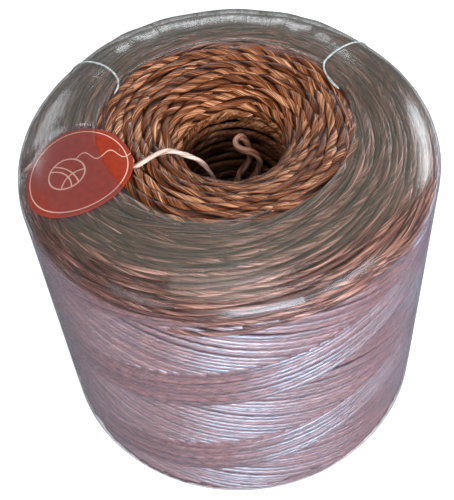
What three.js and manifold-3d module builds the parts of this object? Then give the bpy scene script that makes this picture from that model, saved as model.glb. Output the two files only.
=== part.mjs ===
// A roll of heavy plastic twine, wound crosswise on a mandrel and drawn from its middle,
// in a clear shrink film with a round opening, with a round paper label under the film.
// Millimetres, +Z up, the origin at the middle of the flat ring that the roll stands on.
import * as THREE from 'three';
import { mergeVertices } from 'three/addons/utils/BufferGeometryUtils.js';
import Module from 'manifold-3d';

// Driving dimensions
const overallRadius = 125;
const overallHeight = 232.4;
const openingRadius = 73.5;
const filmThickness = 1;
const restGap = 0.3;
const filmGap = 0.6;
const boreRadius = 30;
const funnelDepth = 19;
const shoulderDrop = 23.7;
const footWidth = 28.7;
const footRise = 14;
const footRingInner = 36;
const funnelRoundness = 2.2;
const coreLean = 3.5;
const coreLeanFoot = 134;
const coreChamfer = 6;
const turnRidges = 8;
const turnRidgeDepth = 1.5;
const turnWander = 1;
const wanderSlow = { folds: 2, lead: 9, share: 1 };
const wanderQuick = { folds: 3, lead: -14, share: 0.6 };
const bandSpacing = 82;
const bandStarts = 2;
const bandRelief = 1.2;
const bandEdge = 0.14;
const seamAzimuths = [-124, 124];
const seamLean = 12;
const seamHeight = 1.6;
const seamWidth = 7;
const seamReach = 50;
const seamThinning = 0.7;
const backLift = 2.6;
const backStart = 128;
const labelRadius = 31.4;
const labelThickness = 1;
const labelBump = { flat: 15, end: 34, below: 40 };
const labelMiddle = new THREE.Vector2(-84.8, -23.8);
const labelInnermost = 0.62;
const twineDiameter = 4.2;
const grooveRadius = 3.6;
const grooveRise = 1;
const columns = 48;
const endSides = 8;
const outerEndSteps = 44;
const innerEndSteps = 48;
const grooveSides = 10;
const grooveSteps = 30;
const rowsPerRidge = 3;
const shoulderRows = 8;
const sideRows = 13;
const footRows = 5;
const filmFootRows = 3;
const boreRows = 6;

const rollRadius = overallRadius - filmThickness - filmGap;
const rollTop = overallHeight - filmThickness - filmGap;
const footRadius = rollRadius - footWidth;
const sideTop = rollTop - shoulderDrop;
const lipHeight = rollTop - funnelDepth;
const wasm = await Module();
wasm.setup();

// Smooth step from 0 at low to 1 at high
function ease(low, high, value) {
  return THREE.MathUtils.smoothstep(value, low, high);
}

// A closed body with shared points and nothing but positions, then its normals
function tidied(geometry) {
  const bare = geometry.clone();
  bare.deleteAttribute('normal');
  bare.deleteAttribute('uv');
  const merged = mergeVertices(bare, 1e-4);
  merged.computeVertexNormals();
  return merged;
}

function toSolid(geometry) {
  const merged = tidied(geometry);
  const vertProperties = Float32Array.from(merged.attributes.position.array);
  const triVerts = Uint32Array.from(merged.index.array);
  return new wasm.Manifold(new wasm.Mesh({ numProp: 3, vertProperties, triVerts }));
}

function fromSolid(solid) {
  const mesh = solid.getMesh();
  const geometry = new THREE.BufferGeometry();
  geometry.setAttribute('position', new THREE.BufferAttribute(mesh.vertProperties, 3));
  geometry.setIndex(new THREE.BufferAttribute(mesh.triVerts, 1));
  geometry.computeVertexNormals();
  return geometry;
}

// The wound form's own line, from the opening over the shoulder and down to the foot ring.
// Each station has its radius, its height, and its outward normal in that plane.
function wrappedStations() {
  const stations = [];
  const shoulderWidth = rollRadius - openingRadius;
  for (let step = 0; step < shoulderRows; step += 1) {
    const turn = (step / shoulderRows) * Math.PI / 2;
    stations.push({
      radius: openingRadius + shoulderWidth * Math.sin(turn),
      height: sideTop + shoulderDrop * Math.cos(turn),
      out: new THREE.Vector2(Math.sin(turn) / shoulderWidth, Math.cos(turn) / shoulderDrop).normalize(),
      share: step / shoulderRows
    });
  }
  for (let step = 0; step < sideRows; step += 1) {
    const height = THREE.MathUtils.lerp(sideTop, footRise, step / (sideRows - 1));
    stations.push({ radius: rollRadius, height, out: new THREE.Vector2(1, 0), share: 1 });
  }
  for (let step = 1; step <= footRows; step += 1) {
    const turn = (step / footRows) * Math.PI / 2;
    stations.push({
      radius: footRadius + footWidth * Math.cos(turn),
      height: footRise - footRise * Math.sin(turn),
      out: new THREE.Vector2(Math.cos(turn) / footWidth, -Math.sin(turn) / footRise).normalize(),
      share: 1
    });
  }
  return stations;
}

// The funnel of bare turns that leads down to the bore. A crest is 1, a valley between turns is 0.
function funnelStations() {
  const stations = [];
  const width = openingRadius - boreRadius;
  const steps = turnRidges * rowsPerRidge;
  for (let step = steps; step > 0; step -= 1) {
    const across = step / steps;
    const fall = 1 - Math.sqrt(1 - across ** funnelRoundness);
    stations.push({
      radius: openingRadius - width * across,
      height: rollTop - funnelDepth * fall,
      crest: step % rowsPerRidge === 0 ? 0 : 1,
      across
    });
  }
  return stations;
}

// Crosswise bands of turns, round and round the side: each overhangs the one below it at its lower
// edge, and sinks gently from there up to the next edge
function bandHeight(azimuth, height) {
  const lead = bandStarts * azimuth / (2 * Math.PI);
  const phase = THREE.MathUtils.euclideanModulo(height / bandSpacing - lead, 1);
  const onSide = ease(0, footRise, height) * (1 - ease(sideTop - footRise, sideTop, height));
  return bandRelief * onSide * (ease(0, bandEdge, phase) - ease(bandEdge, 1, phase) - 1);
}

// The grid's columns lean near the seams, so that a seam runs along one column
function leaned(azimuth, share) {
  const degrees = THREE.MathUtils.radToDeg(Math.atan2(Math.sin(azimuth), Math.cos(azimuth)));
  let lean = 0;
  for (const seam of seamAzimuths) {
    const near = 1 - ease(0, seamReach, Math.abs(degrees - seam));
    lean += Math.sign(seam) * near * seamLean * (share - 0.5);
  }
  return azimuth + THREE.MathUtils.degToRad(lean);
}

function around(radius, azimuth, height) {
  return new THREE.Vector3(radius * Math.sin(azimuth), -radius * Math.cos(azimuth), height);
}

// A point of the wrapped surface, moved out along its normal by the offset
function wrappedPoint(station, azimuth, offset) {
  const turned = leaned(azimuth, station.share);
  const out = offset + bandHeight(turned, station.height);
  return around(station.radius + out * station.out.x, turned, station.height + out * station.out.y);
}

// The core's mouth lies a little to the right of the roll's axis: the funnel shifts from its rim to the
// lip, and the bore straightens again further down
function coreShift(across, height) {
  const upBore = THREE.MathUtils.clamp((height - coreLeanFoot) / (lipHeight - coreLeanFoot), 0, 1);
  return new THREE.Vector3(coreLean * ease(0, 1, across) * upBore, 0, 0);
}

function borePoint(azimuth, height) {
  return around(boreRadius, azimuth, height).add(coreShift(1, height));
}

// A point of the funnel: each turn wanders in and out as it goes round, less at the funnel's two ends
function funnelPoint(station, azimuth, offset) {
  let wave = 0;
  for (const part of [wanderSlow, wanderQuick]) {
    wave += part.share * Math.sin(part.folds * azimuth + part.lead * station.across);
  }
  const radius = station.radius + turnWander * Math.sin(Math.PI * station.across) * wave;
  const sink = turnRidgeDepth * (1 - station.crest);
  const point = around(radius + sink / 2, leaned(azimuth, 0), station.height - sink + offset);
  return point.add(coreShift(station.across, station.height));
}

// A ring-shaped body turned from a closed line, its points then placed one by one
function turnedBody(points) {
  const line = points.map((place) => {
    const point = place(0);
    return new THREE.Vector2(Math.hypot(point.x, point.y), point.z);
  });
  line.push(line[0].clone());
  const body = new THREE.LatheGeometry(line, columns);
  const position = body.attributes.position;
  const rows = line.length;
  for (let column = 0; column <= columns; column += 1) {
    const azimuth = (column % columns) / columns * 2 * Math.PI;
    for (let row = 0; row < rows; row += 1) {
      const point = points[row % points.length](azimuth);
      position.setXYZ(column * rows + row, point.x, point.y, point.z);
    }
  }
  return tidied(body);
}

// A round tube along a smooth route
function tube(route, radius, sides, steps) {
  const section = new THREE.Shape();
  section.absarc(0, 0, radius, 0, 2 * Math.PI, false);
  const settings = {
    steps,
    bevelEnabled: false,
    extrudePath: new THREE.CatmullRomCurve3(route)
  };
  const outline = section.getPoints(sides / 2);
  outline.pop();
  return tidied(new THREE.ExtrudeGeometry(new THREE.Shape(outline), settings));
}

function wrappedHeight(radius) {
  const reach = Math.min(1, Math.max(0, (radius - openingRadius) / (rollRadius - openingRadius)));
  return sideTop + shoulderDrop * Math.sqrt(1 - reach * reach);
}

// Places across the shoulder, held a depth below the wound surface
function buried(x, y, depth) {
  return new THREE.Vector3(x, y, wrappedHeight(Math.hypot(x, y)) - depth);
}

// The outer loose end: up over the left shoulder in the hollow between two turns, under the label,
// across the bare turns and over the lip into the core, where it hangs
const buriedDepth = twineDiameter / 2 + 0.8;
const buriedPoints = 11;
const outerRoute = [
  buried(-118.6, -6.4, buriedDepth + 0.6),
  buried(-114.5, -6.6, buriedDepth + 0.2),
  buried(-108, -8, buriedDepth),
  buried(-100, -10.6, buriedDepth),
  buried(-91, -13.8, buriedDepth),
  buried(-82, -17, buriedDepth),
  buried(-73, -20.2, buriedDepth),
  new THREE.Vector3(-65, -22.6, rollTop - 3),
  new THREE.Vector3(-58.5, -23.9, rollTop - 3.7),
  new THREE.Vector3(-53, -23.9, rollTop - 3),
  new THREE.Vector3(-47.2, -22.6, rollTop - 0.5),
  new THREE.Vector3(-40.2, -17.6, rollTop - 0.9),
  new THREE.Vector3(-32.8, -12.6, rollTop - 4.2),
  new THREE.Vector3(-25.2, -11.6, rollTop - 9.2),
  new THREE.Vector3(-18.6, -11.8, rollTop - 13.4),
  new THREE.Vector3(-14.6, -11.6, rollTop - 18.8),
  new THREE.Vector3(-11.4, -11.2, rollTop - 26.4),
  new THREE.Vector3(-9.2, -10.8, rollTop - 35),
  new THREE.Vector3(-8.4, -10.6, rollTop - 44.4),
  new THREE.Vector3(-8.2, -10.6, rollTop - 54.4)
];

// The inner loose end: out of the wall of the bore, up against it, round a small eye and down again
const innerRoute = [
  new THREE.Vector3(4.6, 27.1, rollTop - 90.4),
  new THREE.Vector3(5.2, 27, rollTop - 82.4),
  new THREE.Vector3(6, 26.8, rollTop - 75.4),
  new THREE.Vector3(8.2, 26.2, rollTop - 68),
  new THREE.Vector3(11.2, 24.6, rollTop - 61.4),
  new THREE.Vector3(13.5, 23.6, rollTop - 55.4),
  new THREE.Vector3(14.3, 23.2, rollTop - 49.4),
  new THREE.Vector3(13.6, 23.5, rollTop - 43.4),
  new THREE.Vector3(12.4, 23.3, rollTop - 37.8),
  new THREE.Vector3(9.4, 23.2, rollTop - 33.6),
  new THREE.Vector3(6, 22, rollTop - 35.2),
  new THREE.Vector3(6.2, 19.4, rollTop - 37.6),
  new THREE.Vector3(10, 17.4, rollTop - 39.4),
  new THREE.Vector3(14.6, 16, rollTop - 40),
  new THREE.Vector3(18.4, 15.2, rollTop - 43.4),
  new THREE.Vector3(20, 16.2, rollTop - 50.4),
  new THREE.Vector3(19.2, 18, rollTop - 58),
  new THREE.Vector3(16.8, 20.4, rollTop - 66.4),
  new THREE.Vector3(14.6, 22.9, rollTop - 74.4),
  new THREE.Vector3(13.6, 23.6, rollTop - 82.4)
];

// The wound twine: bore, funnel of bare turns, shoulder, side with its bands, and the foot ring
function woundRoll() {
  const wrapped = wrappedStations();
  const funnel = funnelStations();
  const boreTop = lipHeight - coreChamfer;
  const places = [];
  places.push((azimuth) => around(footRingInner, azimuth, 0));
  places.push((azimuth) => around(boreRadius + 1, azimuth, coreChamfer));
  for (let row = 0; row < boreRows; row += 1) {
    const height = THREE.MathUtils.lerp(2 * coreChamfer, boreTop, row / (boreRows - 1));
    places.push((azimuth) => borePoint(azimuth, height));
  }
  for (const station of funnel) {
    places.push((azimuth) => funnelPoint(station, azimuth, 0));
  }
  for (const station of wrapped) {
    places.push((azimuth) => wrappedPoint(station, azimuth, 0));
  }
  const rise = new THREE.Vector3(0, 0, grooveRise);
  const grooveRoute = outerRoute.slice(0, buriedPoints).map((point) => point.clone().add(rise));
  grooveRoute.unshift(buried(-120.6, -6.2, buriedDepth));
  const groove = toSolid(tube(grooveRoute, grooveRadius, grooveSides, grooveSteps));
  return fromSolid(toSolid(turnedBody(places.reverse())).subtract(groove));
}

// How far the film stands off the twine: over the label, and slack at the back between the seams
function filmLift(station, azimuth) {
  const turned = leaned(azimuth, station.share);
  const place = around(station.radius, turned, station.height);
  const fromLabel = labelMiddle.distanceTo(new THREE.Vector2(place.x, place.y));
  const beyond = ease(labelRadius + labelBump.flat, labelRadius + labelBump.end, fromLabel);
  const above = ease(sideTop - labelBump.below, sideTop, station.height);
  const overLabel = (labelThickness + restGap) * above * (1 - beyond);
  const degrees = Math.abs(THREE.MathUtils.radToDeg(Math.atan2(place.x, -place.y)));
  const behind = ease(backStart, backStart + seamReach / 2, degrees) * Math.sin(Math.PI * station.share);
  return Math.max(overLabel, backLift * behind);
}

// The welded seams stand up from the film along the shoulder, thickest at the opening
function seamRise(station, azimuth) {
  if (station.share >= 1) {
    return 0;
  }
  const degrees = THREE.MathUtils.radToDeg(Math.atan2(Math.sin(azimuth), Math.cos(azimuth)));
  const nearest = Math.min(...seamAzimuths.map((seam) => Math.abs(degrees - seam)));
  return seamHeight * (1 - ease(0, seamWidth, nearest)) * (1 - seamThinning * station.share);
}

// The film: a thin sleeve over shoulder, side and foot, its rim turned in at the opening
function filmSleeve() {
  const covered = wrappedStations().slice(0, shoulderRows + sideRows + filmFootRows);
  const places = [];
  for (const station of covered) {
    places.push((azimuth) => wrappedPoint(station, azimuth, filmGap + filmLift(station, azimuth)));
  }
  for (const station of covered.reverse()) {
    const under = filmGap + filmThickness;
    const rise = (azimuth) => under + filmLift(station, azimuth) + seamRise(station, azimuth);
    places.push((azimuth) => wrappedPoint(station, azimuth, rise(azimuth)));
  }
  return turnedBody(places);
}

// The label's plan outline: a true disc, bent over the shoulder with its arc lengths kept
function labelOutline() {
  const steps = 200;
  const radii = [];
  const lengths = [];
  let length = 0;
  for (let step = 0; step <= steps; step += 1) {
    const radius = THREE.MathUtils.lerp(boreRadius, rollRadius - 0.5, step / steps);
    if (step > 0) {
      length += Math.hypot(radius - radii[step - 1], wrappedHeight(radius) - wrappedHeight(radii[step - 1]));
    }
    radii.push(radius);
    lengths.push(length);
  }
  const radiusAt = (wanted) => radii[lengths.findIndex((each) => each >= wanted)];
  const middleRadius = labelMiddle.length();
  const middleLength = lengths[radii.findIndex((each) => each >= middleRadius)];
  const inward = labelMiddle.clone().normalize();
  const points = [];
  const sides = 40;
  for (let side = 0; side < sides; side += 1) {
    const turn = side / sides * 2 * Math.PI;
    const radius = radiusAt(middleLength + labelRadius * Math.cos(turn));
    const aside = labelRadius * Math.sin(turn);
    const point = new THREE.Vector2(radius, aside);
    points.push(point.rotateAround(new THREE.Vector2(), inward.angle()));
  }
  return points;
}

// The label: the disc's outline cut from a thin layer that lies on shoulder and bare turns
function roundLabel() {
  const crests = funnelStations().filter((station) => station.crest === 1 && station.across < labelInnermost);
  const shoulder = wrappedStations().slice(0, shoulderRows + 1);
  const layer = [];
  for (const offset of [restGap, restGap + labelThickness]) {
    const side = [];
    for (const station of crests) {
      side.push((azimuth) => funnelPoint(station, azimuth, offset));
    }
    for (const station of shoulder) {
      side.push((azimuth) => wrappedPoint(station, azimuth, offset));
    }
    layer.push(side);
  }
  const body = turnedBody([...layer[0], ...layer[1].reverse()]);
  const outline = new THREE.Shape(labelOutline());
  const column = new THREE.ExtrudeGeometry(outline, { depth: overallHeight, bevelEnabled: false });
  column.translate(0, 0, overallHeight / 2);
  return fromSolid(toSolid(body).intersect(toSolid(column)));
}

function piece(name, geometry, colour, roughness) {
  const material = new THREE.MeshStandardMaterial({ color: colour, roughness, metalness: 0 });
  const mesh = new THREE.Mesh(geometry, material);
  mesh.name = name;
  return mesh;
}

const roll = new THREE.Group();
roll.add(piece('wound_roll', woundRoll(), 0xa0603c, 0.5));
roll.add(piece('film_sleeve', filmSleeve(), 0xc8c4cc, 0.2));
roll.add(piece('round_label', roundLabel(), 0xb43a18, 0.6));
roll.add(piece('outer_end', tube(outerRoute, twineDiameter / 2, endSides, outerEndSteps), 0xd8a58e, 0.5));
roll.add(piece('inner_end', tube(innerRoute, twineDiameter / 2, endSides, innerEndSteps), 0xc89680, 0.5));

export default roll;
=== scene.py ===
import math
import bpy
import numpy as np
from mathutils import Euler, Matrix, Vector


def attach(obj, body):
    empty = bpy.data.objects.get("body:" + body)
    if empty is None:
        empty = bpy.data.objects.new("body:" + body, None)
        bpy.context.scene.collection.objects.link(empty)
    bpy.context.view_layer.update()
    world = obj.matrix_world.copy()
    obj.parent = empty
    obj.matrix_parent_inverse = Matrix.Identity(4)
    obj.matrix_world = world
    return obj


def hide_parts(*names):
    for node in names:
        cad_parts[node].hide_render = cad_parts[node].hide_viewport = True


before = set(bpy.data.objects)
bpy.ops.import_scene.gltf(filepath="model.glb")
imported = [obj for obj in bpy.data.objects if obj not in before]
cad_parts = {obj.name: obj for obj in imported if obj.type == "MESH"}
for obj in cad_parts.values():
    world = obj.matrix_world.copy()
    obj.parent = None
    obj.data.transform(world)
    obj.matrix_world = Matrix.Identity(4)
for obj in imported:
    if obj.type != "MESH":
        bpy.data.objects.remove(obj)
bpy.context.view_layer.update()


class settings(dict):
    # A dictionary whose values can also be read by their names, as in s.width
    __getattr__ = dict.__getitem__


scene = bpy.context.scene
scene.view_settings.view_transform = "Standard"
scene.view_settings.look = "None"
scene.view_settings.exposure = 0.2

# The camera stands where the photo was taken from, in metres, and is turned from looking straight down
# by three angles in degrees. Its place, angles and lens were fitted to the roll in the photo.
cameraSetup = settings(
    place=(-0.00831, -0.39625, 0.61345), turn=(38.4494059, 3.0118976, -4.2327229), lens=68.6664,
    sensor=36, nearest=0.01, furthest=20)


def makeCamera(s):
    data = bpy.data.cameras.new("photoCamera")
    data.lens = s.lens
    data.sensor_width = s.sensor
    data.clip_start, data.clip_end = s.nearest, s.furthest
    camera = bpy.data.objects.new("photoCamera", data)
    turn = Euler([math.radians(angle) for angle in s.turn])
    camera.matrix_world = Matrix.LocRotScale(Vector(s.place), turn, None)
    scene.collection.objects.link(camera)
    scene.camera = camera


makeCamera(cameraSetup)
print("camera placed")

# The roll's section is one line: up the bore, out over the funnel, over the shoulder, down the side and
# round the foot to the bore again. Its length is counted from the lip where bore and funnel meet.
rollShape = settings(
    radius=0.1234, top=0.2308, opening=0.0735, bore=0.030, funnelDepth=0.019, funnelRound=2.2,
    shoulderDrop=0.0237, footWidth=0.0287, footRise=0.014, footRing=0.036, chamfer=0.006,
    bandSpacing=0.082, bandStarts=2, coreLean=0.0035, leanFoot=0.134, curveSteps=90, lineSteps=80,
    ringSteps=30, chamferSteps=4)
lipHeight = rollShape.top - rollShape.funnelDepth
sideTop = rollShape.top - rollShape.shoulderDrop


def sectionLine(p):
    # Bore and side are straight lines, shoulder and foot are quarters of an oval, and the funnel is a
    # quarter of a fuller oval, whose cosine is raised to less than its first power
    turn = np.linspace(0, np.pi / 2, p.curveSteps)
    width = p.radius - p.opening
    across = np.cos(turn) ** (2 / p.funnelRound)
    funnelHeight = lipHeight + p.funnelDepth * np.sin(turn)
    parts = [
        (np.full(p.lineSteps, p.bore), np.linspace(p.chamfer, lipHeight, p.lineSteps)),
        (p.opening - (p.opening - p.bore) * across, funnelHeight),
        (p.opening + width * np.sin(turn), sideTop + p.shoulderDrop * np.cos(turn)),
        (np.full(p.lineSteps, p.radius), np.linspace(sideTop, p.footRise, p.lineSteps)),
        (p.radius - p.footWidth * (1 - np.cos(turn)), p.footRise * (1 - np.sin(turn))),
        (np.linspace(p.radius - p.footWidth, p.footRing, p.ringSteps), np.zeros(p.ringSteps)),
        (np.linspace(p.footRing, p.bore, p.chamferSteps), np.linspace(0, p.chamfer, p.chamferSteps))]
    radius = np.concatenate([part[0] for part in parts])
    height = np.concatenate([part[1] for part in parts])
    step = np.hypot(np.diff(radius), np.diff(height))
    keep = np.concatenate([[True], step > 1e-7])
    radius, height = radius[keep], height[keep]
    reach = np.concatenate([[0], np.cumsum(np.hypot(np.diff(radius), np.diff(height)))])
    boreLength = lipHeight - p.chamfer
    slopeR, slopeZ = np.gradient(radius, reach), np.gradient(height, reach)
    size = np.hypot(slopeR, slopeZ)
    return settings(reach=reach - boreLength, radius=radius, height=height, outR=-slopeZ / size,
                    outZ=slopeR / size, boreFoot=-boreLength, end=reach[-1] - boreLength)


section = sectionLine(rollShape)


def reachAt(radius, height):
    # How far along the section a point of it lies
    gap = np.hypot(section.radius - radius, section.height - height)
    return float(section.reach[gap.argmin()])


openingReach = reachAt(rollShape.opening, rollShape.top)
sideReach = reachAt(rollShape.radius, sideTop)
footReach = reachAt(rollShape.radius, rollShape.footRise)
ringReach = reachAt(rollShape.radius - rollShape.footWidth, 0)
ringEnd = reachAt(rollShape.footRing, 0)


def smooth(low, high, value):
    # An S-curve that is 0 up to low and 1 from high on, or the other way round where low is the larger
    share = np.clip((value - low) / (high - low), 0, 1)
    return share * share * (3 - 2 * share)


def waves(azimuth, *parts):
    # The sum of some waves round the roll: each part is a height, a number of waves and where it starts
    return sum(height * np.sin(count * azimuth + start) for height, count, start in parts)


def onRoll(reach, azimuth, depth):
    # A point of the roll's surface, sunk by the depth, and the outward direction there. Azimuth 0 is the
    # front, and it grows to the right. The core's mouth lies a little to the right of the roll's axis.
    radius, height, outR, outZ = (np.interp(reach, section.reach, section[part])
                                  for part in ("radius", "height", "outR", "outZ"))
    radius = radius - depth * outR
    height = height - depth * outZ
    upBore = np.clip((height - rollShape.leanFoot) / (lipHeight - rollShape.leanFoot), 0, 1)
    lean = rollShape.coreLean * (1 - smooth(0, openingReach, reach)) * upBore
    point = np.stack([radius * np.sin(azimuth) + lean, -radius * np.cos(azimuth), height], -1)
    out = np.stack([outR * np.sin(azimuth), -outR * np.cos(azimuth), outZ], -1)
    return point, out / np.linalg.norm(out, axis=-1, keepdims=True)


def gridQuads(rows, columns, closeRows=False, closeColumns=False):
    # The four-sided faces of a grid of points; a closed way joins its last points to its first
    row = np.arange(rows if closeRows else rows - 1)[:, None]
    column = np.arange(columns if closeColumns else columns - 1)[None, :]
    nextRow, nextColumn = (row + 1) % rows, (column + 1) % columns
    corners = [row * columns + column, row * columns + nextColumn,
               nextRow * columns + nextColumn, nextRow * columns + column]
    return np.stack([np.broadcast_to(c, (row.size, column.size)) for c in corners], -1).reshape(-1, 4)


def addPiece(name, points, quads, values=None, flat=None):
    # One mesh from its points and four-sided faces, with a number or a flat place for each point
    mesh = bpy.data.meshes.new(name)
    mesh.vertices.add(len(points))
    mesh.vertices.foreach_set("co", np.ascontiguousarray(points, np.float32).ravel())
    mesh.loops.add(quads.size)
    mesh.loops.foreach_set("vertex_index", quads.astype(np.int32).ravel())
    mesh.polygons.add(len(quads))
    mesh.polygons.foreach_set("loop_start", np.arange(0, quads.size, 4, dtype=np.int32))
    mesh.polygons.foreach_set("use_smooth", np.ones(len(quads), bool))
    mesh.update(calc_edges=True)
    for label, numbers in (values or {}).items():
        isVector = numbers.shape[-1] == 3 and numbers.size == 3 * len(points)
        layer = mesh.attributes.new(label, "FLOAT_VECTOR" if isVector else "FLOAT", "POINT")
        part = "vector" if isVector else "value"
        layer.data.foreach_set(part, np.ascontiguousarray(numbers, np.float32).ravel())
    if flat is not None:
        layer = mesh.uv_layers.new(name="flatPlace")
        layer.data.foreach_set("uv", flat[quads.ravel()].astype(np.float32).ravel())
    mesh.validate()
    piece = bpy.data.objects.new(name, mesh)
    scene.collection.objects.link(piece)
    return piece


def finishPiece(piece, material, slotName, *nodes):
    piece.data.materials.append(material)
    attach(piece, "root")
    if nodes:
        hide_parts(*nodes)
    print(piece.name, len(piece.data.polygons) * 2, "triangles")


# The twist is a little uneven along a strand, and differs from strand to strand. In the bore a strand's
# colour gets painted shade, darker from just above the lip down.
strandSetup = settings(
    fineTwist=0.10, fineLength=0.0083, fineShift=40, slowTwist=0.16, slowLength=0.021, slowShift=90,
    leastTwist=0.85, moreTwist=0.3, goldenShare=0.618034, tipSize=0.004, boreShade=0.8,
    boreEdge=0.006, shadeOut=0.012, shadeIn=-0.004, shadeTop=0.004, shadeFoot=-0.024)


def sweep(centre, out, width, height, s):
    # Twisted strands along many lines at once. The section is an oval with two lobes for the two plies,
    # and it turns once in each ply length; both ends taper and are closed.
    t = strandSetup
    sides = s.sides
    lines, steps = centre.shape[:2]
    tangent = np.gradient(centre, axis=1)
    tangent /= np.linalg.norm(tangent, axis=-1, keepdims=True)
    across = np.cross(tangent, out)
    across /= np.linalg.norm(across, axis=-1, keepdims=True)
    up = np.cross(across, tangent)
    run = np.linalg.norm(np.diff(centre, axis=1), axis=-1)
    along = np.concatenate([np.zeros((lines, 1)), np.cumsum(run, 1)], 1)
    shift = np.modf(np.arange(lines) * t.goldenShare)[0]
    own = shift[:, None]
    uneven = (t.fineTwist * np.sin(along / t.fineLength + t.fineShift * own)
              + t.slowTwist * np.sin(along / t.slowLength + t.slowShift * own))
    turns = along / s.plyLength * (t.leastTwist + t.moreTwist * own) + uneven + own
    angle = np.linspace(0, 2 * np.pi, sides, endpoint=False)
    lag = angle[None, None, :] - s.get("hand", 1) * 2 * np.pi * turns[..., None]
    ridge = 1 + s.lobe * np.cos(2 * lag)
    left = np.minimum(along, along[:, -1:] - along) / s.taper
    size = np.sqrt(np.clip(left, t.tipSize, 1))
    wide = (width * size / 2)[..., None] * ridge * np.cos(angle)
    tall = (height * size / 2)[..., None] * ridge * np.sin(angle)
    points = centre[:, :, None] + wide[..., None] * across[:, :, None] + tall[..., None] * up[:, :, None]
    one = gridQuads(steps, sides, closeColumns=True)[:, ::-1]
    pair = np.arange(sides // 2 - 1)
    lid = np.stack([pair, pair + 1, sides - 2 - pair, sides - 1 - pair], -1)
    one = np.concatenate([one, lid, lid[:, ::-1] + (steps - 1) * sides])
    quads = (one[None] + (np.arange(lines) * steps * sides)[:, None, None]).reshape(-1, 4)
    full = (lines, steps, sides)
    # Painted shade in the bore, from just above the lip down
    fromWall = np.hypot(points[..., 0], points[..., 1]) - rollShape.bore - t.boreEdge
    inBore = smooth(t.shadeOut, t.shadeIn, fromWall)
    belowLip = smooth(t.shadeTop, t.shadeFoot, points[..., 2] - lipHeight)
    values = dict(
        shade=1 - s.get("boreShade", t.boreShade) * inBore * belowLip,
        across=np.broadcast_to(across[:, :, None], (*full, 3)),
        along=np.broadcast_to(along[..., None], full),
        ply=lag / (2 * np.pi),
        groove=(1 - np.cos(2 * lag)) / 2,
        tint=np.broadcast_to(shift[:, None, None], full))
    return points.reshape(-1, 3), quads, values


def addStrands(name, material, points, out, width, height, s):
    points, quads, values = sweep(points, out, width, height, s)
    finishPiece(addPiece(name, points, quads, values), material, "twine", "wound_roll")


def addNode(tree, kind, sockets=None, **options):
    # A node with its options: a socket is given a number, or is linked to the output that it is given
    node = tree.nodes.new(kind)
    for name, value in options.items():
        setattr(node, name, value)
    for name, value in (sockets or {}).items():
        if isinstance(value, bpy.types.NodeSocket):
            tree.links.new(value, node.inputs[name])
        else:
            node.inputs[name].default_value = value
    return node


def calc(tree, operation, *values):
    return addNode(tree, "ShaderNodeMath", dict(enumerate(values)), operation=operation).outputs[0]


def times(tree, first, second):
    return calc(tree, "MULTIPLY", first, second)


def addTo(tree, value, share, rest):
    return calc(tree, "MULTIPLY_ADD", value, share, rest)


def between(tree, share, first, second):
    mixed = addNode(tree, "ShaderNodeMix", {0: share, 6: first, 7: second}, data_type="RGBA")
    return mixed.outputs[2]


def numberOf(tree, name):
    return addNode(tree, "ShaderNodeAttribute", attribute_name=name).outputs["Fac"]


def noiseOf(tree, place, scale, detail=2.0, roughness=0.5):
    return addNode(tree, "ShaderNodeTexNoise", {"Vector": place, "Scale": scale, "Detail": detail,
                                                "Roughness": roughness}).outputs["Fac"]


def rangeOf(tree, value, low, high, toLow=0.0, toHigh=1.0):
    return addNode(tree, "ShaderNodeMapRange", {"Value": value, "From Min": low, "From Max": high,
                                                "To Min": toLow, "To Max": toHigh}).outputs[0]


def bumpOf(tree, height, strength, distance):
    return addNode(tree, "ShaderNodeBump", {"Strength": strength, "Distance": distance,
                                            "Height": height}).outputs[0]


def ramped(tree, value, stops):
    # The colour for a value: each stop is its place and its red, green and blue from 0 to 255
    node = addNode(tree, "ShaderNodeValToRGB", {0: value})
    ramp = node.color_ramp
    while len(ramp.elements) < len(stops):
        ramp.elements.new(0.5)
    for element, (place, *colour) in zip(ramp.elements, stops):
        element.position = place
        element.color = fromSrgb(*colour)
    return node.outputs[0]


def fromSrgb(red, green, blue):
    # A screen colour from 0 to 255 as the renderer's own light values
    linear = [((c / 255 + 0.055) / 1.055) ** 2.4 if c > 10 else c / 3294 for c in (red, green, blue)]
    return (*linear, 1.0)


def newMaterial(name):
    material = bpy.data.materials.new(name)
    material.use_nodes = True
    material.node_tree.nodes.clear()
    return material, material.node_tree


def mixOf(tree, share, first, second):
    return addNode(tree, "ShaderNodeMixShader", {0: share, 1: first.outputs[0], 2: second.outputs[0]})


def endWith(tree, shader):
    tree.links.new(shader.outputs[0], tree.nodes.new("ShaderNodeOutputMaterial").inputs[0])


def plainSkin(tree, sockets):
    return addNode(tree, "ShaderNodeBsdfPrincipled", sockets)


def grainyMaterial(name, s):
    # A surface with one fine grain in its colour and its height
    material, tree = newMaterial(name)
    place = addNode(tree, "ShaderNodeTexCoord").outputs["Object"]
    grain = noiseOf(tree, place, s.grainScale, s.grainDetail)
    endWith(tree, plainSkin(tree, {
        "Base Color": ramped(tree, grain, s.tones), "Roughness": s.roughness,
        "Specular IOR Level": s.gloss, "Emission Strength": s.glow,
        "Normal": bumpOf(tree, grain, s.grainBump, s.grainHeight)}))
    return material


# The fibres in a twine: shares of the fibre noise, of the slow patches and of a strand's own tint in its
# colour value, and the painted shade that the groove between the plies takes from it
fibreSetup = settings(
    alongScale=9.0, strandShift=61.0, fibreDetail=3.0, fibreRoughness=0.62, slowScale=1.6,
    slowDetail=1.0, grooveSharpness=7.0, fibreShare=1.7, slowShare=0.4, tintShare=0.26, darken=-0.58,
    grooveDark=0.8, grooveFall=0.6, roughShare=0.16, grooveRough=0.5, leastRough=0.26)


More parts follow.
